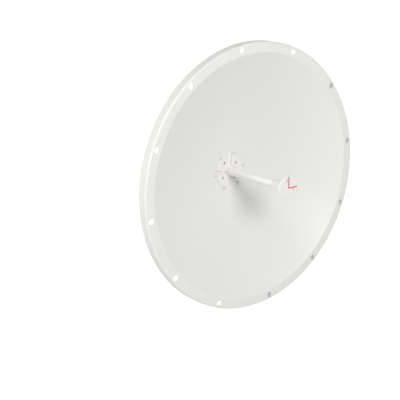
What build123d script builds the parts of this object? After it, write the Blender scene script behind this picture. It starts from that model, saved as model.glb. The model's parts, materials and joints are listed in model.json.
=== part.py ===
from build123d import *
from math import cos, radians, sin, sqrt, tan
import os

# Point-to-point dish antenna: a pressed steel parabolic reflector with a flat drilled rim, a
# dual-polarised feed on its axis, and a galvanised bracket that clamps to a vertical pole.
# Row frame: +Z up along the pole, origin on the pole's axis midway between the two clamps, and the
# dish looks along -Y. Lengths are in millimetres, angles in degrees.
# On the dish, "height" is measured from the reflector's vertex along the boresight, towards -Y.

# ---------------------------------------------------------------- driving dimensions: reflector
focal_length = 216.0
aperture_radius = 300.0
rim_radius = 325.0
rim_hole_circle = 313.0
rim_hole_radius = 7.0
rim_hole_count = 12
rim_hole_first = 15.0
skirt_depth = 25.5
sheet = 1.6
rim_outer_bend = 4.2
rim_inner_bend = 5.0
vertex_to_pole = 215.0

# ---------------------------------------------------------------- driving dimensions: feed
centre_hole_radius = 22.2
spigot_radius = 21.9
flange_radius = 40.0
flange_face = 3.4
rib_height = 2.4
rib_foot = 4.6
rib_crest = 1.6
rib_length = 77.0
groove_width = 4.0
groove_depth = 2.6
boss_offset = 23.5
boss_radius = 5.4
boss_height = 4.0
pad_radius = 7.8
pad_height = 0.7
collar_radius = 13.6
collar_top = 8.5
collar_foot_corner = 16.5
collar_top_corner = 14.2
feed_screw_offset = 18.4
feed_screw_radius = 1.5
feed_screw_head = 2.75
counterbore_radius = 3.0
counterbore_floor = 1.9
tube_radius = 12.2
tube_foot_radius = 16.0
tube_foot_top = 0.9
tube_wall = 1.5
tube_end = 166.0
tube_end_radius = 6.9
cone_small_radius = 7.6
cone_knee = 184.0
cone_knee_radius = 13.2
cone_large_radius = 20.0
cone_neck_length = 10.0
cap_radius = 28.2
cap_depth = 5.2
cap_wall = 1.6
subreflector_thickness = 1.2
mark_reach = 27.0
mark_width = 2.6
mark_dot_radius = 1.8
mark_pad = 2.8
mark_turn = 6.5
mark_thickness = 0.2
board_thickness = 0.8
board_half_width = 3.6
board_back = -11.5
board_tail_half_width = 12.6
dipole_half_width = 12.0
dipole_height = 4.0
dipole_to_disc = 13.6

# ---------------------------------------------------------------- driving dimensions: hub and ports
hub_radius = 56.0
hub_bore_radius = 30.5
hub_back = -14.0
hub_bolt_circle = 45.5
hub_bolt_count = 6
hub_bolt_first = 15.0
hub_bolt_radius = 2.5
hub_bolt_end = -26.0
gasket = 0.8
housing_radius = 29.0
housing_cavity = 21.4
housing_mouth = 14.0
housing_lip = 4.0
housing_back = -22.0
housing_wall = 4.0
port_offset = 11.6
port_thread_radius = 7.94
port_mount_radius = 8.6
port_end = -37.0
port_bore_radius = 4.6
port_nut_height = 3.0

# ---------------------------------------------------------------- driving dimensions: brackets
cradle_plate = 3.0
cradle_half_height = 58.0
bracket_plate = 4.0
bracket_half_width = 61.0
bracket_half_height = 70.0
bracket_front = -154.0
ear_gap = 0.5
pivot_y, pivot_z = -105.0, -40.0
lock_reach = 80.0
elevation_limit = 25.0
pivot_margin = 17.0
lock_margin = 14.0
slot_width = 8.8
m8_radius = 4.0
m8_flats = 13.0
m8_nut_height = 6.5
m8_washer_radius = 8.0
m8_washer_height = 1.6
m8_spring_radius = 7.0
m8_spring_height = 2.2
running_gap = 0.1

# ---------------------------------------------------------------- driving dimensions: pole clamps
pole_radius = 16.7
clamp_level = 52.0
clamp_bolt_offset = 40.0
clamp_travel = 30.0
neck_side = 8.4
neck_depth = 4.5
jaw_half_height = 16.0
jaw_half_width = 52.0
jaw_back = 31.0
jaw_tip = 3.7
jaw_shoulder_x, jaw_shoulder_y = 32.0, 18.0
vee_half_angle = 55.0
tooth_pitch = 3.6
tooth_depth = 1.2
tooth_count = 4

# ---------------------------------------------------------------- derived values and planes
rim_height = aperture_radius**2 / (4 * focal_length)
vertex_y = -vertex_to_pole
dish_face = Plane(origin=(0, vertex_y, 0), x_dir=(1, 0, 0), z_dir=(0, -1, 0))
dish_profile = Plane(origin=(0, vertex_y, 0), x_dir=(1, 0, 0), z_dir=(0, 0, -1))
dish_axis = Axis((0, vertex_y, 0), (0, -1, 0))
cap_front = focal_length
cap_back = cap_front - cap_depth
web_front = -jaw_back - bracket_plate
ear_inner = bracket_half_width - bracket_plate
cradle_half_width = ear_inner - ear_gap
cradle_front = vertex_y - hub_back
cradle_inner = cradle_half_width - cradle_plate
seat_radius = pole_radius + running_gap

hub_bolts = PolarLocations(hub_bolt_circle, hub_bolt_count, start_angle=hub_bolt_first)
feed_screws = GridLocations(2 * feed_screw_offset, 2 * feed_screw_offset, 2, 2)
ports = GridLocations(2 * port_offset, 0, 2, 1)

os.makedirs("parts", exist_ok=True)


def save(builder, name):
    """Labels a finished sub-part and writes it as the node of that name."""
    builder.part.label = name
    export_step(builder.part, f"parts/{name}.step")


def dish_height(radius, shift=0.0):
    """Height of the paraboloid above its vertex, along the boresight."""
    return radius**2 / (4 * focal_length) + shift


def parabola(inner, outer, shift=0.0):
    """The paraboloid's profile between two radii: a parabola is one quadratic Bezier curve."""
    middle = ((inner + outer) / 2, inner * outer / (4 * focal_length) + shift)
    return Bezier((inner, dish_height(inner, shift)), middle, (outer, dish_height(outer, shift)))


def corner(builder, x, y):
    """The vertex of the sketch being drawn that is nearest to a point."""
    return builder.vertices().sort_by_distance(Vector(x, y, 0))[0]


def on_dish(spots, height, forward=True):
    """Planes at a height on the dish, one at each spot, facing along the boresight or back."""
    direction = (0, -1, 0) if forward else (0, 1, 0)
    places = [dish_face.offset(height) * spot for spot in spots]
    return Locations(*[Plane(origin=place.position, z_dir=direction) for place in places])


def sideways(y, z, distance):
    """The two planes at a distance either side of the centre that face away from it."""
    right = Plane(origin=(distance, y, z), x_dir=(0, 1, 0), z_dir=(1, 0, 0))
    left = Plane(origin=(-distance, y, z), x_dir=(0, 1, 0), z_dir=(-1, 0, 0))
    return Locations(right, left)


def inward(y, z, distance):
    """The two planes at a distance either side of the centre that face it."""
    right = Plane(origin=(distance, y, z), x_dir=(0, 1, 0), z_dir=(-1, 0, 0))
    left = Plane(origin=(-distance, y, z), x_dir=(0, 1, 0), z_dir=(1, 0, 0))
    return Locations(right, left)


def clamp_spots(y, *heights):
    """Planes at the clamp bolts of the given heights that face the dish."""
    places = [(side * clamp_bolt_offset, y, height) for height in heights for side in (-1, 1)]
    return Locations(*[Plane(origin=place, x_dir=(1, 0, 0), z_dir=(0, -1, 0)) for place in places])


def revolved(points):
    """A solid of revolution about +Z whose half outline is a list of (radius, height) points."""
    with BuildPart() as turned:
        with BuildSketch(Plane.XZ):
            with BuildLine():
                Polyline(*points, close=True)
            make_face()
        revolve(axis=Axis.Z)
    return turned.part


def washer(outer, inner, height):
    """A flat ring that stands on its own base plane."""
    return revolved([(inner, 0), (outer, 0), (outer, height), (inner, height)])


def hexagon(flats, height, bore=0.0):
    """A hexagonal nut or bolt head whose corners are turned off at 30 degrees on both faces."""
    corner_radius = flats / sqrt(3)
    slope = (corner_radius - 0.98 * flats / 2) * tan(radians(30))
    with BuildPart() as hexed:
        with BuildSketch():
            RegularPolygon(flats / 2, 6, major_radius=False)
            if bore:
                Circle(bore, mode=Mode.SUBTRACT)
        extrude(amount=height)
        with BuildSketch(Plane.XZ):
            with BuildLine():
                Polyline((0, 0), (0.98 * flats / 2, 0), (corner_radius, slope),
                         (corner_radius, height - slope), (0.98 * flats / 2, height), (0, height),
                         close=True)
            make_face()
        revolve(axis=Axis.Z, mode=Mode.INTERSECT)
    return hexed.part


def hex_bolt(flats, head_height, radius, length):
    """A hexagon bolt: head above its base plane, shank with a chamfered end below it."""
    point = 0.15 * radius
    with BuildPart() as bolt:
        add(hexagon(flats, head_height))
        add(revolved([(0, 0), (radius, 0), (radius, point - length), (radius - point, -length),
                      (0, -length)]))
    return bolt.part


def carriage_bolt(radius, length, head_radius, head_height, neck):
    """A carriage bolt along +Z: domed head below its base plane, square neck, round shank."""
    point = 0.15 * radius
    with BuildPart() as bolt:
        with BuildSketch(Plane.XZ):
            with BuildLine():
                TangentArc((0, -head_height), (head_radius, -1), tangent=(1, 0))
                Polyline((0, -head_height), (0, length), (radius - point, length),
                         (radius, length - point), (radius, 0), (head_radius, 0),
                         (head_radius, -1))
            make_face()
        revolve(axis=Axis.Z)
        with BuildSketch():
            Rectangle(neck_side, neck_side)
        extrude(amount=neck)
    return bolt.part


def button_screw(radius, length, head_radius, head_height, socket_flats):
    """A socket button-head screw: domed head above its base plane, shank below it."""
    point = 0.15 * radius
    with BuildPart() as screw:
        with BuildSketch(Plane.XZ):
            with BuildLine():
                ThreePointArc((head_radius, 0.4), (0.8 * head_radius, 0.75 * head_height),
                              (0.45 * head_radius, head_height))
                Polyline((0.45 * head_radius, head_height), (0, head_height), (0, -length),
                         (radius - point, -length), (radius, point - length), (radius, 0),
                         (head_radius, 0), (head_radius, 0.4))
            make_face()
        revolve(axis=Axis.Z)
        with BuildSketch(Plane.XY.offset(head_height)):
            RegularPolygon(socket_flats / 2, 6, major_radius=False)
        extrude(amount=-0.6 * head_height, mode=Mode.SUBTRACT)
    return screw.part


# ---------------------------------------------------------------- reflector
with BuildPart() as reflector:
    with BuildSketch(dish_profile) as outline:
        with BuildLine():
            front = parabola(centre_hole_radius, aperture_radius)
            back = parabola(centre_hole_radius, aperture_radius - sheet / 4, -sheet)
            Polyline(front @ 1, (rim_radius, rim_height), (rim_radius, rim_height - skirt_depth),
                     (rim_radius - sheet, rim_height - skirt_depth),
                     (rim_radius - sheet, rim_height - sheet), back @ 1)
            Line(front @ 0, back @ 0)
        make_face()
        fillet(corner(outline, rim_radius, rim_height), rim_outer_bend)
        fillet(corner(outline, rim_radius - sheet, rim_height - sheet), rim_outer_bend - sheet)
        fillet(corner(outline, aperture_radius, rim_height), rim_inner_bend)
        fillet(corner(outline, aperture_radius, rim_height - sheet), rim_inner_bend - sheet)
    revolve(axis=dish_axis)
    with BuildSketch(dish_face.offset(rim_height)):
        with PolarLocations(rim_hole_circle, rim_hole_count, start_angle=rim_hole_first):
            Circle(rim_hole_radius)
    extrude(amount=-2 * sheet, mode=Mode.SUBTRACT)
    with BuildSketch(dish_face.offset(-2 * sheet)):
        with hub_bolts:
            Circle(hub_bolt_radius + 0.25)
        with feed_screws:
            Circle(feed_screw_radius + 0.2)
    extrude(amount=6 * sheet, mode=Mode.SUBTRACT)
save(reflector, "reflector")

# ---------------------------------------------------------------- hub and its six screws
hub_seat = dish_height(hub_bolt_circle + 5.2) + 0.5

with BuildPart() as hub_ring:
    with BuildSketch(dish_profile) as outline:
        with BuildLine():
            front = parabola(hub_bore_radius, hub_radius, -sheet)
            Polyline(front @ 1, (hub_radius, hub_back), (hub_bore_radius, hub_back), front @ 0)
        make_face()
        chamfer(corner(outline, hub_radius, hub_back), 2)
    revolve(axis=dish_axis)
    with BuildSketch(dish_face.offset(hub_back)):
        with hub_bolts:
            Circle(hub_bolt_radius + 0.25)
    extrude(amount=-2 * hub_back, mode=Mode.SUBTRACT)
save(hub_ring, "hub_ring")

with BuildPart() as hub_seals:
    with BuildSketch(dish_face):
        with hub_bolts:
            Circle(5.2)
            Circle(hub_bolt_radius, mode=Mode.SUBTRACT)
    extrude(amount=hub_seat)
    with BuildSketch(dish_profile):
        with BuildLine():
            front = parabola(0, hub_radius)
            Polyline(front @ 1, (hub_radius, -sheet), (0, -sheet), front @ 0)
        make_face()
    revolve(axis=dish_axis, mode=Mode.SUBTRACT)
save(hub_seals, "hub_seals")

hub_screw = button_screw(hub_bolt_radius, hub_seat - hub_bolt_end, 4.75, 2.75, 3)
with BuildPart() as hub_screws:
    with on_dish(hub_bolts, hub_seat):
        add(hub_screw)
save(hub_screws, "hub_screws")

m5_washer = washer(5.0, hub_bolt_radius, 1.0)
with BuildPart() as hub_washers:
    with on_dish(hub_bolts, hub_back - cradle_plate, forward=False):
        add(m5_washer)
save(hub_washers, "hub_washers")

m5_nut = hexagon(8, 4.7, hub_bolt_radius)
with BuildPart() as hub_nuts:
    with on_dish(hub_bolts, hub_back - cradle_plate - 1.0, forward=False):
        add(m5_nut)
save(hub_nuts, "hub_nuts")

# ---------------------------------------------------------------- feed flange, tube, cone and cap
with BuildPart() as feed_flange:
    with BuildSketch(dish_profile) as outline:
        with BuildLine():
            seat = parabola(centre_hole_radius, flange_radius)
            Polyline(seat @ 1, (flange_radius, flange_face), (collar_radius, flange_face),
                     (tube_radius + 0.6, collar_top), (tube_radius, collar_top),
                     (tube_radius, tube_foot_top), (tube_foot_radius, tube_foot_top),
                     (tube_foot_radius, -1), (spigot_radius, -1), (spigot_radius, 0),
                     (spigot_radius, dish_height(centre_hole_radius)), seat @ 0)
        make_face()
        fillet(corner(outline, flange_radius, flange_face), 0.8)
        fillet(corner(outline, collar_radius, flange_face), 1.2)
    revolve(axis=dish_axis)
    rib_half = rib_length / 2
    for across, side in ((dish_face.x_dir, 1), (dish_face.y_dir, -1)):
        rib_plane = Plane(origin=dish_face.offset(flange_face).origin, x_dir=across,
                          z_dir=dish_face.z_dir.cross(across))
        with BuildSketch(rib_plane.offset(-rib_half)):
            with BuildLine():
                Polyline((-side * rib_foot, 0), (-side * rib_crest, -rib_height),
                         (0, -rib_height), (0, 0), close=True)
            make_face()
        extrude(amount=rib_length)
    groove_length = flange_radius + 1 - collar_radius
    groove_middle = flange_radius + 1 - groove_length / 2
    with BuildSketch(dish_face.offset(flange_face)):
        with Locations((groove_width / 2, groove_middle), (groove_width / 2, -groove_middle)):
            Rectangle(groove_width, groove_length)
        with Locations((groove_middle, -groove_width / 2), (-groove_middle, -groove_width / 2)):
            Rectangle(groove_length, groove_width)
    extrude(amount=-groove_depth, mode=Mode.SUBTRACT)
    with BuildSketch(dish_face.offset(counterbore_floor)):
        with Locations((-boss_offset, 0)):
            Circle(boss_radius)
    extrude(amount=flange_face + boss_height - counterbore_floor)
    with BuildSketch(dish_face.offset(flange_face)):
        RegularPolygon(collar_foot_corner, 4)
    with BuildSketch(dish_face.offset(collar_top)):
        RegularPolygon(collar_top_corner, 4)
    loft()
    with BuildSketch(dish_face.offset(flange_face)):
        with feed_screws:
            Circle(pad_radius)
    extrude(amount=pad_height)
    with BuildSketch(dish_face.offset(tube_foot_top)):
        Circle(tube_radius)
    extrude(amount=collar_top, mode=Mode.SUBTRACT)
    with BuildSketch(dish_face.offset(counterbore_floor)):
        with feed_screws:
            Circle(counterbore_radius)
    extrude(amount=collar_top, mode=Mode.SUBTRACT)
    with BuildSketch(dish_face):
        with feed_screws:
            Circle(feed_screw_radius + 0.2)
    extrude(amount=collar_top, mode=Mode.SUBTRACT)
save(feed_flange, "feed_flange")

feed_screw_end = -10.0
with BuildPart() as feed_screw:
    add(revolved([(0, 0), (feed_screw_head, 0), (feed_screw_head, 1.8), (feed_screw_head - 0.3, 2.1),
                  (0, 2.1)]))
    add(revolved([(0, 0), (feed_screw_radius, 0), (feed_screw_radius, feed_screw_end - 1.7),
                  (0, feed_screw_end - 1.9)]))
    with BuildSketch(Plane.XY.offset(2.1)):
        RegularPolygon(1.25, 6, major_radius=False)
    extrude(amount=-1.3, mode=Mode.SUBTRACT)
with BuildPart() as feed_flange_screws:
    with on_dish(feed_screws, counterbore_floor):
        add(feed_screw.part)
save(feed_flange_screws, "feed_flange_screws")

neck_radius = 5.2
with BuildPart() as feed_tube:
    with BuildSketch(dish_profile) as outline:
        with BuildLine():
            Polyline((tube_foot_radius, -1), (tube_foot_radius, tube_foot_top),
                     (tube_radius, tube_foot_top), (tube_radius - 0.2, 24), (10.3, 54), (9.3, 120),
                     (7.8, 152), (tube_end_radius, tube_end), (neck_radius, tube_end),
                     (neck_radius, tube_end - cone_neck_length - 1), (7.8, 120), (8.8, 54),
                     (tube_radius - 0.2 - tube_wall, 24),
                     (tube_radius - tube_wall, 0), (tube_radius - tube_wall, -1), close=True)
        make_face()
        for radius, height in ((tube_radius - 0.2, 24), (10.3, 54), (9.3, 120), (7.8, 152)):
            fillet(corner(outline, radius, height), 30)
        fillet(corner(outline, tube_end_radius, tube_end), 0.6)
    revolve(axis=dish_axis)
save(feed_tube, "feed_tube")

cone_flange_top = cap_front - cap_wall - subreflector_thickness
with BuildPart() as feed_cone:
    with BuildSketch(dish_profile) as outline:
        with BuildLine():
            Polyline((neck_radius, tube_end - cone_neck_length), (neck_radius, tube_end),
                     (cone_small_radius, tube_end), (cone_knee_radius, cone_knee),
                     (cone_large_radius, cap_back + 0.6), (cap_radius - cap_wall, cap_back + 0.6),
                     (cap_radius - cap_wall, cone_flange_top), (cone_large_radius, cone_flange_top),
                     (cone_large_radius - 1.4, cap_back), (cone_knee_radius - 1.4, cone_knee),
                     (neck_radius - 0.7, tube_end + 1.5),
                     (neck_radius - 0.7, tube_end - cone_neck_length), close=True)
        make_face()
        fillet(corner(outline, cone_knee_radius, cone_knee), 25)
    revolve(axis=dish_axis)
save(feed_cone, "feed_cone")

with BuildPart() as subreflector:
    with BuildSketch(dish_face.offset(cone_flange_top)):
        Circle(cap_radius - cap_wall)
    extrude(amount=subreflector_thickness)
save(subreflector, "subreflector")

with BuildPart() as end_cap:
    with BuildSketch(dish_profile) as outline:
        with BuildLine():
            Polyline((0, cap_front), (cap_radius, cap_front), (cap_radius, cap_back),
                     (cap_radius - cap_wall, cap_back), (cap_radius - cap_wall, cap_front - cap_wall),
                     (0, cap_front - cap_wall), close=True)
        make_face()
        fillet(corner(outline, cap_radius, cap_front), 1.1)
        fillet(corner(outline, cap_radius, cap_back), 0.4)
    revolve(axis=dish_axis)
save(end_cap, "end_cap")

with BuildPart() as polarisation_mark:
    with BuildSketch(Plane(dish_face.offset(cap_front).location * Rotation(0, 0, mark_turn))):
        with Locations((-mark_width / 2, -mark_width / 2)):
            Rectangle(mark_width, mark_reach, align=(Align.MIN, Align.MIN))
            Rectangle(mark_reach, mark_width, align=(Align.MIN, Align.MIN))
        with Locations((0, mark_reach - mark_width), (mark_reach - mark_width, 0)):
            Circle(mark_dot_radius)
        with Locations((-4.2, 0.68 * mark_reach), (0.56 * mark_reach, -4.6)):
            Rectangle(mark_pad, mark_pad)
    extrude(amount=mark_thickness)
save(polarisation_mark, "polarisation_mark")

# ---------------------------------------------------------------- feed boards: two crossed dipoles
dipole_front = cap_front - dipole_to_disc
board_middle = (board_back + dipole_front) / 2
board_plane = {
    "vertical_feed_board": Plane(origin=(0, vertex_y, 0), x_dir=(0, 0, 1), z_dir=(1, 0, 0)),
    "horizontal_feed_board": dish_profile,
}


def feed_board(plane, slot_from, slot_to):
    """A printed board in the tube: tail at the ports, strip, and dipole arms at its front end."""
    with BuildPart() as board:
        with BuildSketch(plane):
            with BuildLine():
                Polyline((board_tail_half_width, board_back), (board_tail_half_width, -5),
                         (board_half_width, -2), (board_half_width, dipole_front - dipole_height),
                         (dipole_half_width, dipole_front - dipole_height),
                         (dipole_half_width, dipole_front), (-dipole_half_width, dipole_front),
                         (-dipole_half_width, dipole_front - dipole_height),
                         (-board_half_width, dipole_front - dipole_height),
                         (-board_half_width, -2), (-board_tail_half_width, -5),
                         (-board_tail_half_width, board_back), close=True)
            make_face()
            slot_middle = (slot_from + slot_to) / 2
            with Locations((0, slot_middle)):
                Rectangle(board_thickness + 0.1, slot_to - slot_from, mode=Mode.SUBTRACT)
        extrude(amount=board_thickness / 2, both=True)
    return board


vertical_feed_board = feed_board(board_plane["vertical_feed_board"], board_back - 1, board_middle)
save(vertical_feed_board, "vertical_feed_board")
horizontal_feed_board = feed_board(board_plane["horizontal_feed_board"], board_middle,
                                   dipole_front + 1)
save(horizontal_feed_board, "horizontal_feed_board")

# ---------------------------------------------------------------- feed housing and its two ports
with BuildPart() as housing_gasket:
    with BuildSketch(dish_profile):
        with BuildLine():
            top = parabola(centre_hole_radius, housing_radius, -sheet)
            bottom = parabola(centre_hole_radius, housing_radius, -sheet - gasket)
            Line(top @ 0, bottom @ 0)
            Line(top @ 1, bottom @ 1)
        make_face()
    revolve(axis=dish_axis)
    with BuildSketch(dish_face.offset(-housing_lip)):
        with feed_screws:
            Circle(feed_screw_radius + 0.2)
    extrude(amount=housing_lip, mode=Mode.SUBTRACT)
save(housing_gasket, "housing_gasket")

with BuildPart() as feed_housing:
    with BuildSketch(dish_profile) as outline:
        with BuildLine():
            seat = parabola(centre_hole_radius, housing_radius, -sheet - gasket)
            Polyline(seat @ 1, (housing_radius, housing_back), (0, housing_back),
                     (0, housing_back + housing_wall), (housing_cavity, housing_back + housing_wall),
                     (housing_cavity, -housing_lip), (housing_mouth, -housing_lip),
                     (housing_mouth, -1), (spigot_radius, -1), (spigot_radius, seat.position_at(0).Y),
                     seat @ 0)
        make_face()
        fillet(corner(outline, housing_radius, housing_back), 2)
    revolve(axis=dish_axis)
    with BuildSketch(dish_face.offset(housing_back)):
        with ports:
            Circle(port_mount_radius)
    extrude(amount=housing_wall, mode=Mode.SUBTRACT)
    with BuildSketch(dish_face.offset(feed_screw_end)):
        with feed_screws:
            Circle(feed_screw_radius)
    extrude(amount=-feed_screw_end, mode=Mode.SUBTRACT)
save(feed_housing, "feed_housing")

port_flange = 1.8
port_inside = housing_back + housing_wall
port_seal_height = 0.8
port_tip = port_end - port_inside
port_shoulder = -housing_wall - port_seal_height - port_nut_height
with BuildPart() as port_body:
    add(revolved([(1.9, port_flange), (9.4, port_flange), (9.4, 0), (port_mount_radius, 0),
                  (port_mount_radius, port_shoulder), (port_thread_radius, port_shoulder),
                  (port_thread_radius, port_tip + 0.8), (port_thread_radius - 0.8, port_tip),
                  (port_bore_radius + 0.6, port_tip), (port_bore_radius, port_tip + 0.8),
                  (port_bore_radius, -9), (1.9, -9)]))
with BuildPart() as port_bodies:
    with on_dish(ports, port_inside):
        add(port_body.part)
save(port_bodies, "port_bodies")

port_insulator = revolved([(0.65, 2.4), (1.9, 2.4), (1.9, -9), (port_bore_radius, -9),
                           (port_bore_radius, -11), (0.65, -11)])
with BuildPart() as port_insulators:
    with on_dish(ports, port_inside):
        add(port_insulator)
save(port_insulators, "port_insulators")

contact_tip = board_back - port_inside
port_contact = revolved([(0, contact_tip), (0.65, contact_tip), (0.65, -11), (1.6, -11),
                         (1.6, -16.5), (1.3, -17), (0.85, -17), (0.85, -12.5), (0, -12.5)])
with BuildPart() as port_contacts:
    with on_dish(ports, port_inside):
        add(port_contact)
save(port_contacts, "port_contacts")

port_seal = washer(9.6, port_mount_radius, port_seal_height)
with BuildPart() as port_seals:
    with on_dish(ports, housing_back, forward=False):
        add(port_seal)
save(port_seals, "port_seals")

port_nut = hexagon(20, port_nut_height, port_mount_radius)
with BuildPart() as port_nuts:
    with on_dish(ports, housing_back - port_seal_height, forward=False):
        add(port_nut)
save(port_nuts, "port_nuts")

# ---------------------------------------------------------------- cradle that carries the dish
cradle_back = pivot_y + pivot_margin
lock_z = pivot_z + lock_reach
with BuildPart() as dish_bracket:
    with BuildSketch() as folded:
        with BuildLine():
            Polyline((-cradle_half_width, cradle_back), (-cradle_half_width, cradle_front),
                     (cradle_half_width, cradle_front), (cradle_half_width, cradle_back),
                     (cradle_inner, cradle_back), (cradle_inner, cradle_front + cradle_plate),
                     (-cradle_inner, cradle_front + cradle_plate), (-cradle_inner, cradle_back),
                     close=True)
        make_face()
        for side in (-1, 1):
            fillet(corner(folded, side * cradle_half_width, cradle_front), 2 + cradle_plate)
            fillet(corner(folded, side * cradle_inner, cradle_front + cradle_plate), 2)
    extrude(amount=cradle_half_height, both=True)
    with BuildSketch(Plane.YZ) as ear:
        with BuildLine():
            Polyline((cradle_front, -cradle_half_height), (cradle_front, cradle_half_height),
                     (cradle_front + 22, cradle_half_height),
                     (pivot_y + lock_margin, lock_z + lock_margin),
                     (cradle_back, pivot_z - pivot_margin),
                     (cradle_front + 22, -cradle_half_height), close=True)
        make_face()
        fillet(corner(ear, pivot_y + lock_margin, lock_z + lock_margin), 12)
        fillet(corner(ear, cradle_back, pivot_z - pivot_margin), 14)
        for side in (-1, 1):
            fillet(corner(ear, cradle_front + 22, side * cradle_half_height), 20)
    extrude(amount=bracket_half_width, both=True, mode=Mode.INTERSECT)
    with BuildSketch(Plane.YZ):
        with Locations((pivot_y, pivot_z), (pivot_y, lock_z)):
            Circle(m8_radius + 0.05)
        with Locations((cradle_front + 48, 0)):
            SlotOverall(64, 30, rotation=90)
    extrude(amount=bracket_half_width, both=True, mode=Mode.SUBTRACT)
    with BuildSketch(dish_face.offset(hub_back)):
        Circle(hub_bore_radius + 0.5)
        with hub_bolts:
            Circle(hub_bolt_radius + 0.25)
    extrude(amount=-2 * cradle_plate, mode=Mode.SUBTRACT)
save(dish_bracket, "dish_bracket")

# ---------------------------------------------------------------- bracket on the pole
slot_arc = CenterArc((pivot_y, pivot_z), lock_reach, 90 - elevation_limit, 2 * elevation_limit)
with BuildPart() as pole_bracket:
    with BuildSketch(Plane.XY.offset(-bracket_half_height)) as folded:
        with BuildLine():
            Polyline((-bracket_half_width, bracket_front), (-bracket_half_width, -jaw_back),
                     (bracket_half_width, -jaw_back), (bracket_half_width, bracket_front),
                     (ear_inner, bracket_front), (ear_inner, web_front), (-ear_inner, web_front),
                     (-ear_inner, bracket_front), close=True)
        make_face()
        for side in (-1, 1):
            fillet(corner(folded, side * bracket_half_width, -jaw_back), 3 + bracket_plate)
            fillet(corner(folded, side * ear_inner, web_front), 3)
    extrude(amount=2 * bracket_half_height)
    with BuildSketch(Plane.YZ) as ear:
        with BuildLine():
            Polyline((-jaw_back, -bracket_half_height), (-jaw_back, bracket_half_height),
                     (web_front - 20, bracket_half_height), (bracket_front, 52),
                     (bracket_front, 10), (pivot_y - 22, pivot_z - 20),
                     (web_front - 40, -bracket_half_height), close=True)
        make_face()
        fillet(corner(ear, web_front - 20, bracket_half_height), 20)
        fillet(corner(ear, bracket_front, 52), 12)
        fillet(corner(ear, bracket_front, 10), 18)
        fillet(corner(ear, pivot_y - 22, pivot_z - 20), 16)
        fillet(corner(ear, web_front - 40, -bracket_half_height), 18)
    extrude(amount=2 * bracket_half_width, both=True, mode=Mode.INTERSECT)
    with BuildSketch(Plane.YZ):
        SlotArc(slot_arc, slot_width)
        with Locations((pivot_y, pivot_z)):
            Circle(m8_radius)
    extrude(amount=2 * bracket_half_width, both=True, mode=Mode.SUBTRACT)
    with BuildSketch(Plane.XZ.offset(jaw_back)):
        with GridLocations(2 * clamp_bolt_offset, 2 * clamp_level, 2, 2):
            Circle(m8_radius + 0.5)
        SlotOverall(46, 26, rotation=90)
    extrude(amount=bracket_plate, mode=Mode.SUBTRACT)
save(pole_bracket, "pole_bracket")

# ---------------------------------------------------------------- pivot and lock fasteners
m8_washer = washer(m8_washer_radius, m8_radius, m8_washer_height)
m8_nut = hexagon(m8_flats, m8_nut_height, m8_radius)
outer_face = bracket_half_width + running_gap
pivot_bolt = hex_bolt(m8_flats, 5.3, m8_radius, 25)
with BuildPart() as pivot_bolts:
    with sideways(pivot_y, pivot_z, bracket_half_width + m8_washer_height):
        add(pivot_bolt)
save(pivot_bolts, "pivot_bolts")

with BuildPart() as pivot_washers:
    with sideways(pivot_y, pivot_z, bracket_half_width):
        add(m8_washer)
    with inward(pivot_y, pivot_z, cradle_inner - running_gap):
        add(m8_washer)
save(pivot_washers, "pivot_washers")

inner_nut_seat = cradle_inner - running_gap - m8_washer_height
with BuildPart() as pivot_nuts:
    with inward(pivot_y, pivot_z, inner_nut_seat):
        add(m8_nut)
save(pivot_nuts, "pivot_nuts")

lock_bolt = hex_bolt(m8_flats, 5.3, m8_radius, 25)
with BuildPart() as lock_bolts:
    with sideways(pivot_y, lock_z, outer_face + m8_washer_height):
        add(lock_bolt)
save(lock_bolts, "lock_bolts")

lock_washer = washer(m8_washer_radius + 1, m8_radius, m8_washer_height)
with BuildPart() as lock_washers:
    with sideways(pivot_y, lock_z, outer_face):
        add(lock_washer)
    with inward(pivot_y, lock_z, cradle_inner):
        add(m8_washer)
save(lock_washers, "lock_washers")

with BuildPart() as lock_nuts:
    with inward(pivot_y, lock_z, cradle_inner - m8_washer_height):
        add(m8_nut)
save(lock_nuts, "lock_nuts")

# ---------------------------------------------------------------- pole clamps: jaws and bolts
flank = radians(vee_half_angle)
seat_x, seat_y = seat_radius * cos(flank), seat_radius * sin(flank)
mouth_x = seat_x + (seat_y - jaw_tip) * tan(flank)


def vee_jaw(level, side):
    """One cast jaw: side -1 is in front of the pole, +1 behind it; its V opens to the pole."""
    with BuildPart() as jaw:
        with BuildSketch(Plane.XY.offset(level - jaw_half_height)) as outline:
            with BuildLine():
                Polyline((seat_x, side * seat_y), (mouth_x, side * jaw_tip),
                         (jaw_shoulder_x, side * jaw_tip), (jaw_half_width, side * jaw_shoulder_y),
                         (jaw_half_width, side * jaw_back), (-jaw_half_width, side * jaw_back),
                         (-jaw_half_width, side * jaw_shoulder_y),
                         (-jaw_shoulder_x, side * jaw_tip), (-mouth_x, side * jaw_tip),
                         (-seat_x, side * seat_y))
                ThreePointArc((-seat_x, side * seat_y), (0, side * seat_radius),
                              (seat_x, side * seat_y))
            make_face()
            for across in (-1, 1):
                fillet(corner(outline, across * jaw_half_width, side * jaw_back), 3)
                fillet(corner(outline, across * jaw_half_width, side * jaw_shoulder_y), 4)
                fillet(corner(outline, across * jaw_shoulder_x, side * jaw_tip), 3)
            for tooth in range(tooth_count):
                along = (tooth + 0.8) * tooth_pitch
                tooth_x = seat_x + along * sin(flank)
                tooth_y = side * (seat_y - along * cos(flank))
                with Locations((tooth_x, tooth_y), (-tooth_x, tooth_y)):
                    RegularPolygon(tooth_depth, 4, rotation=45 + vee_half_angle,
                                   mode=Mode.SUBTRACT)
        extrude(amount=2 * jaw_half_height)
        with BuildSketch(Plane.XZ):
            with GridLocations(2 * clamp_bolt_offset, 2 * clamp_level, 2, 2):
                Circle(m8_radius + 0.5)
        extrude(amount=2 * jaw_back, both=True, mode=Mode.SUBTRACT)
    return jaw


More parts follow.
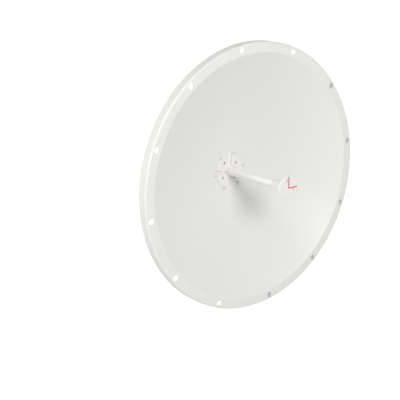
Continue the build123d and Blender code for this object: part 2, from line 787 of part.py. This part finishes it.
levels = {"upper": clamp_level, "lower": -clamp_level}
for level_name, level in levels.items():
    save(vee_jaw(level, -1), f"{level_name}_front_jaw")

    with BuildPart() as rear_jaw:
        add(vee_jaw(level, 1).part)
        with BuildSketch(Plane.XZ.offset(-jaw_back)):
            with Locations((-clamp_bolt_offset, level), (clamp_bolt_offset, level)):
                Rectangle(neck_side, neck_side)
        extrude(amount=neck_depth, mode=Mode.SUBTRACT)
    save(rear_jaw, f"{level_name}_rear_jaw")

spring_seat = web_front - m8_washer_height
nut_seat = spring_seat - m8_spring_height
clamp_bolt_tip = nut_seat - m8_nut_height - clamp_travel - 2
clamp_bolt = carriage_bolt(m8_radius, jaw_back - clamp_bolt_tip, 8.3, 4.6, neck_depth)
for level_name, level in levels.items():
    with BuildPart() as clamp_bolts:
        with clamp_spots(jaw_back, level):
            add(clamp_bolt)
    save(clamp_bolts, f"{level_name}_clamp_bolts")

bolt_clearance = m8_radius + 0.05
clamp_washer = washer(m8_washer_radius, bolt_clearance, m8_washer_height)
clamp_spring = washer(m8_spring_radius, bolt_clearance, m8_spring_height)
clamp_nut = hexagon(m8_flats, m8_nut_height, bolt_clearance)
with BuildPart() as clamp_washers:
    with clamp_spots(web_front, *levels.values()):
        add(clamp_washer)
save(clamp_washers, "clamp_washers")

with BuildPart() as spring_washers:
    with clamp_spots(spring_seat, *levels.values()):
        add(clamp_spring)
save(spring_washers, "spring_washers")

with BuildPart() as clamp_nuts:
    with clamp_spots(nut_seat, *levels.values()):
        add(clamp_nut)
save(clamp_nuts, "clamp_nuts")
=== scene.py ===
import json
import math
from collections import namedtuple

import bmesh
import bpy
from mathutils import Matrix, Vector


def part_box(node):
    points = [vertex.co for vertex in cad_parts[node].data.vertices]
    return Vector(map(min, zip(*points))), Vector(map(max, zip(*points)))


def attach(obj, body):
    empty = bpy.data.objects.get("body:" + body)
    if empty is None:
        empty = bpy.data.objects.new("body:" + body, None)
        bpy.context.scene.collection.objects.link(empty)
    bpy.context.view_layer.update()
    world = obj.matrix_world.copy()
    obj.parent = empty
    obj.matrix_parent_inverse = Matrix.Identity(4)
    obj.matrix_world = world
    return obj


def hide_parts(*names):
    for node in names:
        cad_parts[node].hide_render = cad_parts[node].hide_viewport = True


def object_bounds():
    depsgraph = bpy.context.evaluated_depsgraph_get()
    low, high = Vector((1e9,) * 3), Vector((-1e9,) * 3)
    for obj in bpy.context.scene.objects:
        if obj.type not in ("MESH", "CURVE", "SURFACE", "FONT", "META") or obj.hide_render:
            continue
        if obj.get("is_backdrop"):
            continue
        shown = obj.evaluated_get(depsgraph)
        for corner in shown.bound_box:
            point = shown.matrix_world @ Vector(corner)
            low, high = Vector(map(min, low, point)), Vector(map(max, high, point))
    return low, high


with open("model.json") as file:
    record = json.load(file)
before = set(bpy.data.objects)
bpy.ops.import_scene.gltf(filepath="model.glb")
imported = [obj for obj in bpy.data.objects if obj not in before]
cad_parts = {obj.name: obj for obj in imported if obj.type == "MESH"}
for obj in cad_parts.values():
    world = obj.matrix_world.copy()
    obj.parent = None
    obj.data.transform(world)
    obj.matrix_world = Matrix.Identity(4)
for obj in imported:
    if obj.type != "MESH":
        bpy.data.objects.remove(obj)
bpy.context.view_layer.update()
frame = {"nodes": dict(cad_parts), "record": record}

nodes = frame["nodes"]
scene = bpy.context.scene
mm = 0.001


# ---------------------------------------------------------------- material building blocks
class Shader:
    """A material whose Principled shader is fed by a few procedural textures in object space."""

    def __init__(self, name, color, roughness, metallic=0.0):
        self.material = bpy.data.materials.new(name)
        self.material.use_nodes = True
        self.tree = self.material.node_tree
        self.shader = self.tree.nodes["Principled BSDF"]
        self.shader.inputs["Base Color"].default_value = (*color, 1)
        self.shader.inputs["Roughness"].default_value = roughness
        self.shader.inputs["Metallic"].default_value = metallic
        self.color = (*color, 1)
        self.where = self.tree.nodes.new("ShaderNodeTexCoord").outputs["Object"]
        self.normal = None

    def node(self, kind, **inputs):
        """Adds a node and sets or links its inputs; an underscore in a name stands for a space."""
        made = self.tree.nodes.new(kind)
        for name, value in inputs.items():
            socket = made.inputs[name.replace("_", " ")]
            if isinstance(value, bpy.types.NodeSocket):
                self.tree.links.new(value, socket)
            else:
                socket.default_value = value
        return made

    def stretched(self, scale):
        """Object coordinates scaled by a different amount along each axis."""
        return self.node("ShaderNodeMapping", Vector=self.where, Scale=scale).outputs["Vector"]

    def noise(self, scale, detail, where=None):
        """Cloudy noise from about 0.3 to 0.7; a scale of 100 has grains of about 10 mm."""
        made = self.node("ShaderNodeTexNoise", Vector=where or self.where, Scale=scale,
                         Detail=detail, Roughness=0.55)
        return made.outputs["Fac"]

    def crystals(self, scale):
        """Random red and green values, each constant over one cell of a pattern of crystals."""
        cells = self.node("ShaderNodeTexVoronoi", Vector=self.where, Scale=scale)
        parts = self.node("ShaderNodeSeparateColor", Color=cells.outputs["Color"])
        return parts.outputs["Red"], parts.outputs["Green"]

    def ramp(self, value, low, high, out_low, out_high):
        """Maps a value's range onto another one, clamped."""
        made = self.node("ShaderNodeMapRange", Value=value)
        for socket, number in zip(made.inputs[1:5], (low, high, out_low, out_high)):
            socket.default_value = number
        return made.outputs["Result"]

    def mix(self, factor, first, second):
        """Mixes two colours; each is a colour or a socket."""
        made = self.tree.nodes.new("ShaderNodeMix")
        made.data_type = "RGBA"
        for name, value in (("Factor", factor), ("A", first), ("B", second)):
            socket = [s for s in made.inputs if s.name == name and s.enabled][0]
            if isinstance(value, bpy.types.NodeSocket):
                self.tree.links.new(value, socket)
            else:
                socket.default_value = value
        return [s for s in made.outputs if s.enabled][0]

    def paint(self, socket_name, value):
        """Links a value to an input of the Principled shader."""
        self.tree.links.new(value, self.shader.inputs[socket_name])

    def vary_color(self, factor, other):
        """Blends the base colour so far towards another one by a factor socket."""
        self.color = self.mix(factor, self.color, (*other, 1))
        self.paint("Base Color", self.color)

    def bump(self, height, strength, distance):
        """Adds relief on top of the relief that the material has already."""
        made = self.node("ShaderNodeBump", Height=height, Strength=strength, Distance=distance)
        if self.normal:
            self.tree.links.new(self.normal, made.inputs["Normal"])
        self.normal = made.outputs["Normal"]
        self.paint("Normal", self.normal)


# ---------------------------------------------------------------- materials
def powder_coat():
    """White polyester powder coat: orange peel, a slightly cloudy tone and a little dust."""
    m = Shader("white_powder_coat", (0.86, 0.865, 0.82), 0.42)
    m.vary_color(m.ramp(m.noise(5.0, 5.0), 0.35, 0.75, 0.0, 0.22), (0.82, 0.825, 0.775))
    m.vary_color(m.ramp(m.noise(160.0, 3.0), 0.62, 0.80, 0.0, 0.18), (0.78, 0.775, 0.73))
    m.paint("Roughness", m.ramp(m.noise(26.0, 4.0), 0.3, 0.7, 0.38, 0.48))
    m.bump(m.noise(420.0, 2.0), 0.10, 0.0004)
    return m.material


def coated_fasteners():
    """A thinner coat on small screw heads, with the grey metal showing through in spots."""
    m = Shader("coated_fasteners", (0.77, 0.775, 0.76), 0.4)
    m.vary_color(m.ramp(m.noise(420.0, 4.0), 0.5, 0.75, 0.0, 0.6), (0.66, 0.665, 0.65))
    m.paint("Roughness", m.ramp(m.noise(600.0, 3.0), 0.3, 0.7, 0.30, 0.50))
    m.bump(m.noise(1500.0, 3.0), 0.2, 0.0002)
    return m.material


def feed_plastic():
    """Satin white moulded plastic, a little warmer than the dish, with faint clouds and specks."""
    m = Shader("feed_plastic", (0.89, 0.875, 0.867), 0.30)
    m.vary_color(m.ramp(m.noise(30.0, 3.0), 0.4, 0.8, 0.0, 0.10), (0.83, 0.815, 0.80))
    m.vary_color(m.ramp(m.noise(600.0, 2.0), 0.66, 0.85, 0.0, 0.06), (0.80, 0.79, 0.77))
    m.paint("Roughness", m.ramp(m.noise(60.0, 3.0), 0.3, 0.7, 0.26, 0.34))
    m.bump(m.noise(900.0, 2.0), 0.03, 0.0002)
    return m.material


def red_print():
    """Red screen print: slightly uneven ink."""
    m = Shader("red_print", (0.70, 0.045, 0.07), 0.35)
    m.vary_color(m.ramp(m.noise(900.0, 2.0), 0.5, 0.8, 0.0, 0.4), (0.80, 0.16, 0.18))
    m.bump(m.noise(1500.0, 1.0), 0.1, 0.0001)
    return m.material


def galvanised_steel():
    """Hot-dip zinc: a spangle of large crystals over dull grey, with darker clouds."""
    m = Shader("galvanised_steel", (0.50, 0.51, 0.52), 0.42, 0.85)
    tone, gloss = m.crystals(140.0)
    m.vary_color(m.ramp(tone, 0.0, 1.0, 0.0, 0.55), (0.65, 0.66, 0.66))
    m.vary_color(m.ramp(m.noise(18.0, 5.0), 0.5, 0.8, 0.0, 0.5), (0.36, 0.37, 0.38))
    m.paint("Roughness", m.ramp(gloss, 0.0, 1.0, 0.34, 0.56))
    m.bump(m.noise(260.0, 4.0), 0.15, 0.0004)
    return m.material


def cast_aluminium():
    """Sand-cast aluminium: a grainy skin with dark specks."""
    m = Shader("cast_aluminium", (0.58, 0.58, 0.57), 0.5, 0.85)
    m.vary_color(m.ramp(m.noise(700.0, 3.0), 0.55, 0.75, 0.0, 0.6), (0.40, 0.40, 0.40))
    m.vary_color(m.ramp(m.noise(30.0, 4.0), 0.45, 0.75, 0.0, 0.4), (0.68, 0.68, 0.67))
    m.paint("Roughness", m.ramp(m.noise(90.0, 3.0), 0.3, 0.7, 0.42, 0.62))
    m.bump(m.noise(900.0, 4.0), 0.45, 0.0005)
    return m.material


def machined_aluminium():
    """Fine-turned aluminium: tool marks that run round the boresight."""
    m = Shader("machined_aluminium", (0.70, 0.70, 0.70), 0.3, 1.0)
    rings = m.noise(1.0, 3.0, m.stretched((60, 4000, 60)))
    m.vary_color(m.ramp(rings, 0.4, 0.7, 0.0, 0.35), (0.56, 0.56, 0.56))
    m.paint("Roughness", m.ramp(m.noise(150.0, 3.0), 0.3, 0.7, 0.24, 0.38))
    m.bump(rings, 0.12, 0.0001)
    return m.material


def plated(name, color, tint, roughness):
    """Electroplated metal: clouds of a second tint, fine dark specks and uneven gloss."""
    m = Shader(name, color, roughness, 1.0)
    m.vary_color(m.ramp(m.noise(55.0, 4.0), 0.4, 0.7, 0.0, 0.6), tint)
    m.vary_color(m.ramp(m.noise(1400.0, 2.0), 0.62, 0.8, 0.0, 0.4), tuple(0.7 * c for c in color))
    m.paint("Roughness", m.ramp(m.noise(240.0, 4.0), 0.3, 0.7, roughness - 0.07, roughness + 0.12))
    m.bump(m.noise(1800.0, 2.0), 0.1, 0.0001)
    return m.material


def soft_solid(name, color, other, roughness):
    """A plain solid such as rubber, nylon, PTFE or board: mottled, with a fine grain."""
    m = Shader(name, color, roughness)
    m.vary_color(m.ramp(m.noise(200.0, 3.0), 0.4, 0.75, 0.0, 0.7), other)
    m.paint("Roughness", m.ramp(m.noise(300.0, 3.0), 0.3, 0.7, roughness - 0.08, roughness + 0.08))
    m.bump(m.noise(900.0, 3.0), 0.2, 0.0002)
    return m.material


materials = {
    "white_powder_coat": powder_coat(),
    "coated_fasteners": coated_fasteners(),
    "feed_plastic": feed_plastic(),
    "red_print": red_print(),
    "galvanised_steel": galvanised_steel(),
    "cast_aluminium": cast_aluminium(),
    "machined_aluminium": machined_aluminium(),
    "zinc_plate": plated("zinc_plate", (0.63, 0.63, 0.61), (0.66, 0.64, 0.55), 0.30),
    "stainless_steel": plated("stainless_steel", (0.66, 0.65, 0.63), (0.58, 0.57, 0.56), 0.28),
    "nickel_plate": plated("nickel_plate", (0.72, 0.70, 0.65), (0.66, 0.62, 0.56), 0.20),
    "contact_gold": plated("contact_gold", (0.85, 0.64, 0.28), (0.78, 0.56, 0.22), 0.22),
    "white_nylon": soft_solid("white_nylon", (0.84, 0.83, 0.80), (0.78, 0.77, 0.72), 0.5),
    "white_ptfe": soft_solid("white_ptfe", (0.88, 0.88, 0.86), (0.82, 0.82, 0.79), 0.45),
    "black_rubber": soft_solid("black_rubber", (0.025, 0.025, 0.026), (0.05, 0.05, 0.05), 0.7),
    "circuit_board": soft_solid("circuit_board", (0.03, 0.17, 0.08), (0.05, 0.24, 0.12), 0.35),
}
slot_of = {part["node"]: part["material_slot"] for part in frame["record"]["subparts"]}
for node, slot in slot_of.items():
    mesh = nodes[node].data
    mesh.materials.clear()
    mesh.materials.append(materials[slot])


# ---------------------------------------------------------------- building blocks for meshes
def shown(name, data):
    """A new object in the scene that holds this data."""
    made = bpy.data.objects.new(name, data)
    scene.collection.objects.link(made)
    return made


def ring_faces(rings, sides, first=0, closed=False):
    """Quads between neighbouring rings of points; closed joins the last ring to the first."""
    faces = []
    for ring in range(rings if closed else rings - 1):
        here = first + ring * sides
        there = first + (ring + 1) % rings * sides
        for side in range(sides):
            after = (side + 1) % sides
            faces.append((here + side, here + after, there + after, there + side))
    return faces


# ---------------------------------------------------------------- turned pieces with real threads
turn_sides = 32
sharp_angle = math.radians(40)
# A thread's rings for each turn, and the flat parts of its profile as shares of the pitch.
thread_steps = 8
crest_share = 1 / 8
root_share = 1 / 4
# A surface is a bore, and has no thread, inside this share of the thread's radius.
outer_share = 0.8
# How far the corners of a squared ring reach, as a share of its half side.
corner_reach = 1.32
Thread = namedtuple("Thread", "runout tip pitch depth major")


def thread_cut(along, angle, thread):
    """Depth of a helical thread at a point: narrow crests, wider roots, and a runout."""
    phase = (along / thread.pitch - angle / math.tau) % 1
    flank = (1 - crest_share - abs(2 * phase - 1)) / (1 - crest_share - root_share)
    fade = abs(along - thread.runout) / thread.pitch
    return thread.depth * max(0.0, min(1.0, flank, fade))


def with_thread_rings(outline, thread):
    """The outline with fine steps added wherever its outer surface carries the thread."""
    lowest, highest = sorted((thread.runout, thread.tip))
    rings = [outline[0]]
    for radius, along, squared in outline[1:]:
        last_radius, last_along, _ = rings[-1]
        near, far = sorted((last_along, along))
        outside = min(radius, last_radius) > outer_share * thread.major
        threaded = lowest <= near and far <= highest and outside
        steps = max(1, round((far - near) / thread.pitch * thread_steps)) if threaded else 1
        for step in range(1, steps):
            part = step / steps
            rings.append((last_radius + (radius - last_radius) * part,
                          last_along + (along - last_along) * part, False))
        rings.append((radius, along, squared))
    return rings


def reach_at(angle, ring, thread):
    """A ring's radius at an angle, with its flats or its thread worked in."""
    radius, along, squared = ring
    if squared:
        flat = radius / max(abs(math.cos(angle)), abs(math.sin(angle)))
        return min(flat, corner_reach * radius)
    lowest, highest = sorted((thread.runout, thread.tip))
    if lowest < along < highest:
        return min(radius, thread.major - thread_cut(along, angle, thread))
    return radius


def turned(name, node, body, centres, outline, thread, closed=False):
    """Threaded pieces along Y at each (x, z), in place of a CAD node.

    The outline is (radius, y, squared) from end to end; a squared ring is a square of that half
    side with its corners taken off. A closed outline returns to its start through a bore.
    """
    rings = with_thread_rings(outline, thread)
    points = []
    faces = []
    for centre_x, centre_z in centres:
        first = len(points)
        for ring in rings:
            for side in range(turn_sides):
                angle = math.tau * side / turn_sides
                reach = reach_at(angle, ring, thread)
                points.append((centre_x + reach * math.cos(angle), ring[1],
                               centre_z + reach * math.sin(angle)))
        faces += ring_faces(len(rings), turn_sides, first, closed)
        if not closed:
            end = len(points) - turn_sides
            faces.append(tuple(range(first, first + turn_sides)))
            faces.append(tuple(range(end, end + turn_sides)))
    mesh = bpy.data.meshes.new(name)
    mesh.from_pydata(points, [], faces)
    shell = bmesh.new()
    shell.from_mesh(mesh)
    bmesh.ops.recalc_face_normals(shell, faces=shell.faces)
    shell.to_mesh(mesh)
    shell.free()
    mesh.shade_smooth()
    mesh.set_sharp_from_angle(angle=sharp_angle)
    mesh.materials.append(materials[slot_of[node]])
    piece = shown(name, mesh)
    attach(piece, body)
    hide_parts(node)


m8_radius, m8_pitch, m8_depth = 4.0 * mm, 1.25 * mm, 0.77 * mm
m8_point = 0.6 * mm
clamp_thread_length = 70 * mm
carriage_edge = 1.0 * mm
carriage_neck = 4.5 * mm
carriage_neck_half = 4.2 * mm
dome_steps = 12
for level in ("upper", "lower"):
    node = f"{level}_clamp_bolts"
    low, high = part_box(node)
    head_radius = (high.z - low.z) / 2
    bolt_x, bolt_z = high.x - head_radius, (high.z + low.z) / 2
    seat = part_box(f"{level}_rear_jaw")[1].y
    runout = low.y + clamp_thread_length
    outline = [(m8_radius - m8_point, low.y, False), (m8_radius, low.y + m8_point, False),
               (m8_radius, runout, False), (m8_radius, seat - carriage_neck, False),
               (carriage_neck_half, seat - carriage_neck, True),
               (carriage_neck_half, seat, True), (head_radius, seat, False)]
    dome = high.y - seat - carriage_edge
    dome_radius = (head_radius**2 + dome**2) / (2 * dome)
    for step in range(dome_steps):
        reach = head_radius * math.cos(math.radians(90) * step / dome_steps)
        sag = dome_radius - math.sqrt(dome_radius**2 - reach**2)
        outline.append((reach, high.y - sag, False))
    turned(f"{level}_threaded_clamp_bolts", node, f"{level}_jaw",
           [(-bolt_x, bolt_z), (bolt_x, bolt_z)], outline,
           Thread(runout, low.y, m8_pitch, m8_depth, m8_radius))

port_flange, port_flange_radius = 1.8 * mm, 9.4 * mm
port_mount_radius, port_mount_length = 8.6 * mm, 7.8 * mm
port_thread_radius, port_pitch, port_depth = 7.94 * mm, 1.058 * mm, 0.65 * mm
port_bore, port_bore_depth, port_core = 4.6 * mm, 9.0 * mm, 1.9 * mm
port_edge, port_lip = 0.8 * mm, 0.6 * mm
low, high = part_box("port_bodies")
port_x = high.x - port_flange_radius
port_wall = low.y + port_flange
port_shoulder = port_wall + port_mount_length
outline = [(port_core, low.y), (port_flange_radius, low.y), (port_flange_radius, port_wall),
           (port_mount_radius, port_wall), (port_mount_radius, port_shoulder),
           (port_thread_radius, port_shoulder), (port_thread_radius, high.y - port_edge),
           (port_thread_radius - port_edge, high.y), (port_bore + port_lip, high.y),
           (port_bore, high.y - port_edge), (port_bore, port_wall + port_bore_depth),
           (port_core, port_wall + port_bore_depth)]
turned("threaded_port_bodies", "port_bodies", "dish", [(-port_x, 0), (port_x, 0)],
       [(radius, along, False) for radius, along in outline],
       Thread(port_shoulder, high.y, port_pitch, port_depth, port_thread_radius), closed=True)


# ---------------------------------------------------------------- camera
rim_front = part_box("reflector")[0].y
camera_place = Vector((-1.6190, rim_front - 1.7434, 0.4575))
camera_heading, camera_pitch, camera_roll = 39.753, -12.383, 4.821
camera_lens = 91.2
film_width = 36

camera_data = bpy.data.cameras.new("camera")
camera_data.lens = camera_lens
camera_data.sensor_width = film_width
camera = shown("camera", camera_data)
camera.location = camera_place
camera_turn = (Matrix.Rotation(math.radians(-camera_heading), 4, "Z")
               @ Matrix.Rotation(math.radians(90 + camera_pitch), 4, "X")
               @ Matrix.Rotation(math.radians(camera_roll), 4, "Z"))
camera.rotation_euler = camera_turn.to_euler()
scene.camera = camera


# ---------------------------------------------------------------- floor that curves up into a wall
floor_height = -1.6
floor_radius = 9.0
cove_radius = 3.0
cove_steps = 12
wall_top = 9.0
floor_sides = 96
floor_glow = 0.75

floor_profile = [(0.0, floor_height), (0.5 * floor_radius, floor_height)]
for step in range(cove_steps + 1):
    turn = math.radians(90) * step / cove_steps
    floor_profile.append((floor_radius + cove_radius * math.sin(turn),
                          floor_height + cove_radius * (1 - math.cos(turn))))
floor_profile.append((floor_radius + cove_radius, wall_top))
floor_points = []
for radius, height in floor_profile:
    for side in range(floor_sides):
        turn = math.tau * side / floor_sides
        floor_points.append((radius * math.cos(turn), radius * math.sin(turn), height))
floor_mesh = bpy.data.meshes.new("studio_floor")
floor_mesh.from_pydata(floor_points, [], ring_faces(len(floor_profile), floor_sides))
floor_mesh.shade_smooth()
floor = shown("studio_floor", floor_mesh)
paper = Shader("floor_paper", (0.93, 0.93, 0.93), 0.8)
paper.vary_color(paper.ramp(paper.noise(3.0, 3.0), 0.4, 0.7, 0.0, 0.2), (0.91, 0.91, 0.90))
paper.shader.inputs["Emission Color"].default_value = (1, 1, 1, 1)
paper.shader.inputs["Emission Strength"].default_value = floor_glow
floor_mesh.materials.append(paper.material)
# The floor glows for the camera only, so that it lights and mirrors nothing.
floor.visible_diffuse = False
floor.visible_glossy = False
floor.visible_shadow = False
floor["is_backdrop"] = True


# ---------------------------------------------------------------- lights
aim_point = Vector((0, rim_front + 0.05, 0))
softbox_size = 1.2
softbox_distance = 3.5


def softbox(name, direction, power):
    """A square area light that stands in a direction (heading, height in degrees) and aims in."""
    heading, height = (math.radians(angle) for angle in direction)
    back = Vector((math.sin(heading) * math.cos(height), -math.cos(heading) * math.cos(height),
                   math.sin(height)))
    data = bpy.data.lights.new(name, "AREA")
    data.energy = power
    data.size = softbox_size
    light = shown(name, data)
    light.location = aim_point + back * softbox_distance
    light.rotation_euler = back.to_track_quat("Z", "Y").to_euler()


softbox("key_softbox", (-19, 21), 56.5)
softbox("side_softbox", (-88, 8), 31.8)
softbox("upper_softbox", (-50, 40), 13.3)

# The room's fill light: a broad soft lobe from each side, strongest along its own axis.
fill_lobes = (
    ((-1, 0, 0), 0.479),
    ((1, 0, 0), 0.822),
    ((0, -1, 0), 0.085),
    ((0, 1, 0), 0.391),
    ((0, 0, -1), 0.502),
    ((0, 0, 1), 0.037),
)
world = bpy.data.worlds.new("studio")
scene.world = world
world.use_nodes = True
sky = world.node_tree
background = sky.nodes["Background"]
background.inputs["Color"].default_value = (1, 1, 1, 1)
look_direction = sky.nodes.new("ShaderNodeTexCoord").outputs["Generated"]
glow = None
for axis, strength in fill_lobes:
    facing = sky.nodes.new("ShaderNodeVectorMath")
    facing.operation = "DOT_PRODUCT"
    facing.inputs[1].default_value = [strength * part for part in axis]
    sky.links.new(look_direction, facing.inputs[0])
    lobe = sky.nodes.new("ShaderNodeMath")
    lobe.operation = "MAXIMUM"
    lobe.inputs[1].default_value = 0
    sky.links.new(facing.outputs["Value"], lobe.inputs[0])
    if glow:
        total = sky.nodes.new("ShaderNodeMath")
        sky.links.new(glow, total.inputs[0])
        sky.links.new(lobe.outputs["Value"], total.inputs[1])
        glow = total.outputs["Value"]
    else:
        glow = lobe.outputs["Value"]
sky.links.new(glow, background.inputs["Strength"])
scene.view_settings.view_transform = "Standard"


# ---------------------------------------------------------------- sizes, and the end
low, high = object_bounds()
